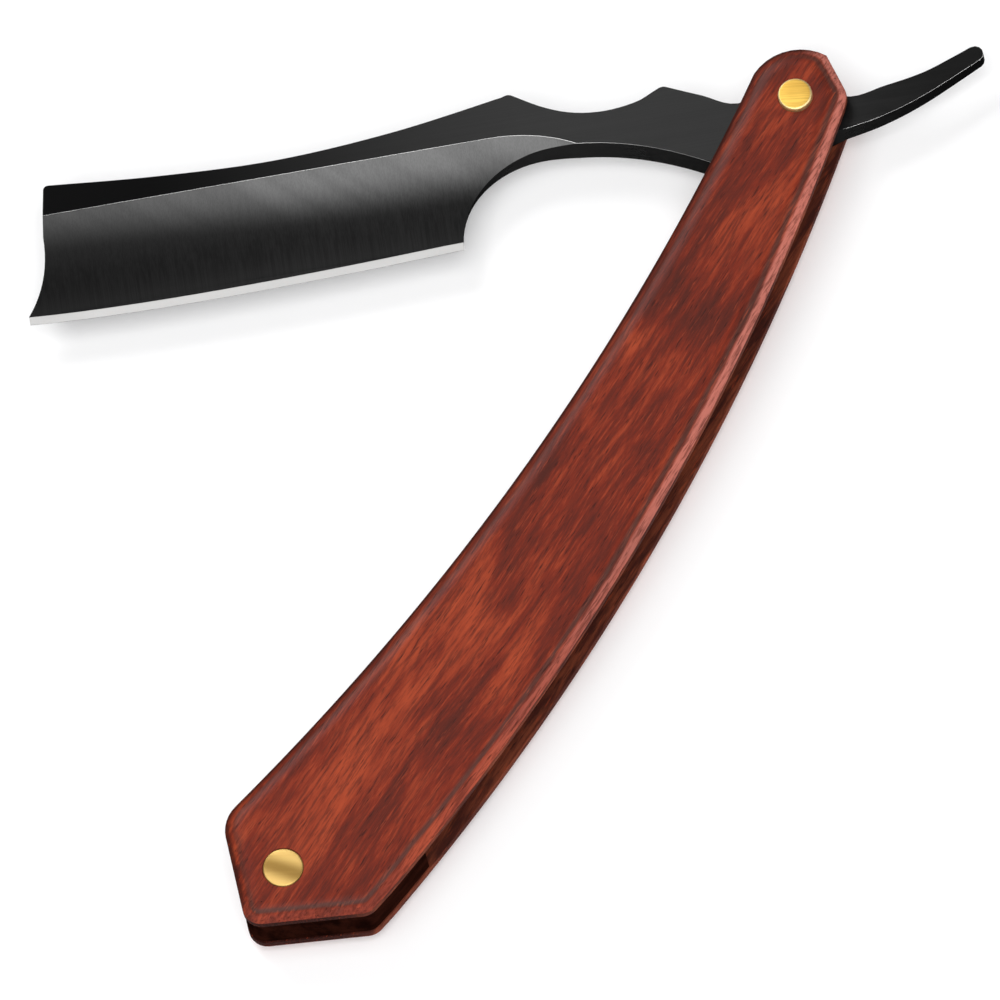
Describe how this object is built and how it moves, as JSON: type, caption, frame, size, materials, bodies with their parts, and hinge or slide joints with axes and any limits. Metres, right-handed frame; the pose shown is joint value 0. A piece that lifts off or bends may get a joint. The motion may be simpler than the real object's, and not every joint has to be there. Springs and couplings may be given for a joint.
{
  "type": "straight razor",
  "caption": "Folding straight razor: a hollow-ground blade with a curved tail, pivoted between wide wooden scales with a wedge at the far end.",
  "frame": {"origin": "on the pivot axis, at the outer face of the back pivot rivet, which the razor rests on", "axes": "+X from the pivot to the far rivet along the handle, +Y towards the handle's convex side, +Z out of the front face, along the pivot axis"},
  "size_m": [0.1807, 0.1151, 0.013],
  "materials": {
    "blade_steel": "black-coated forged steel, cross-brushed hollow, bright honed edge",
    "scale_wood": "red-brown layered hardwood with dark streaks, semi-gloss lacquer",
    "wedge_wood": "dark hardwood, satin",
    "rivet_brass": "brushed brass, light wear on the rims"
  },
  "bodies": {
    "handle": {"front_scale": "scale_wood", "back_scale": "scale_wood", "wedge": "wedge_wood", "pivot_rivet_front": "rivet_brass", "pivot_rivet_back": "rivet_brass", "far_rivet_front": "rivet_brass", "far_rivet_back": "rivet_brass", "front_pivot_washer": "rivet_brass", "back_pivot_washer": "rivet_brass"},
    "blade": {"blade": "blade_steel"}
  },
  "joints": [
    {"name": "blade_pivot", "type": "hinge", "parent": "handle", "child": "blade", "pos_m": [0, 0, 0.0065], "axis": [0, 0, 1], "range_deg": [-220, 50]}
  ]
}
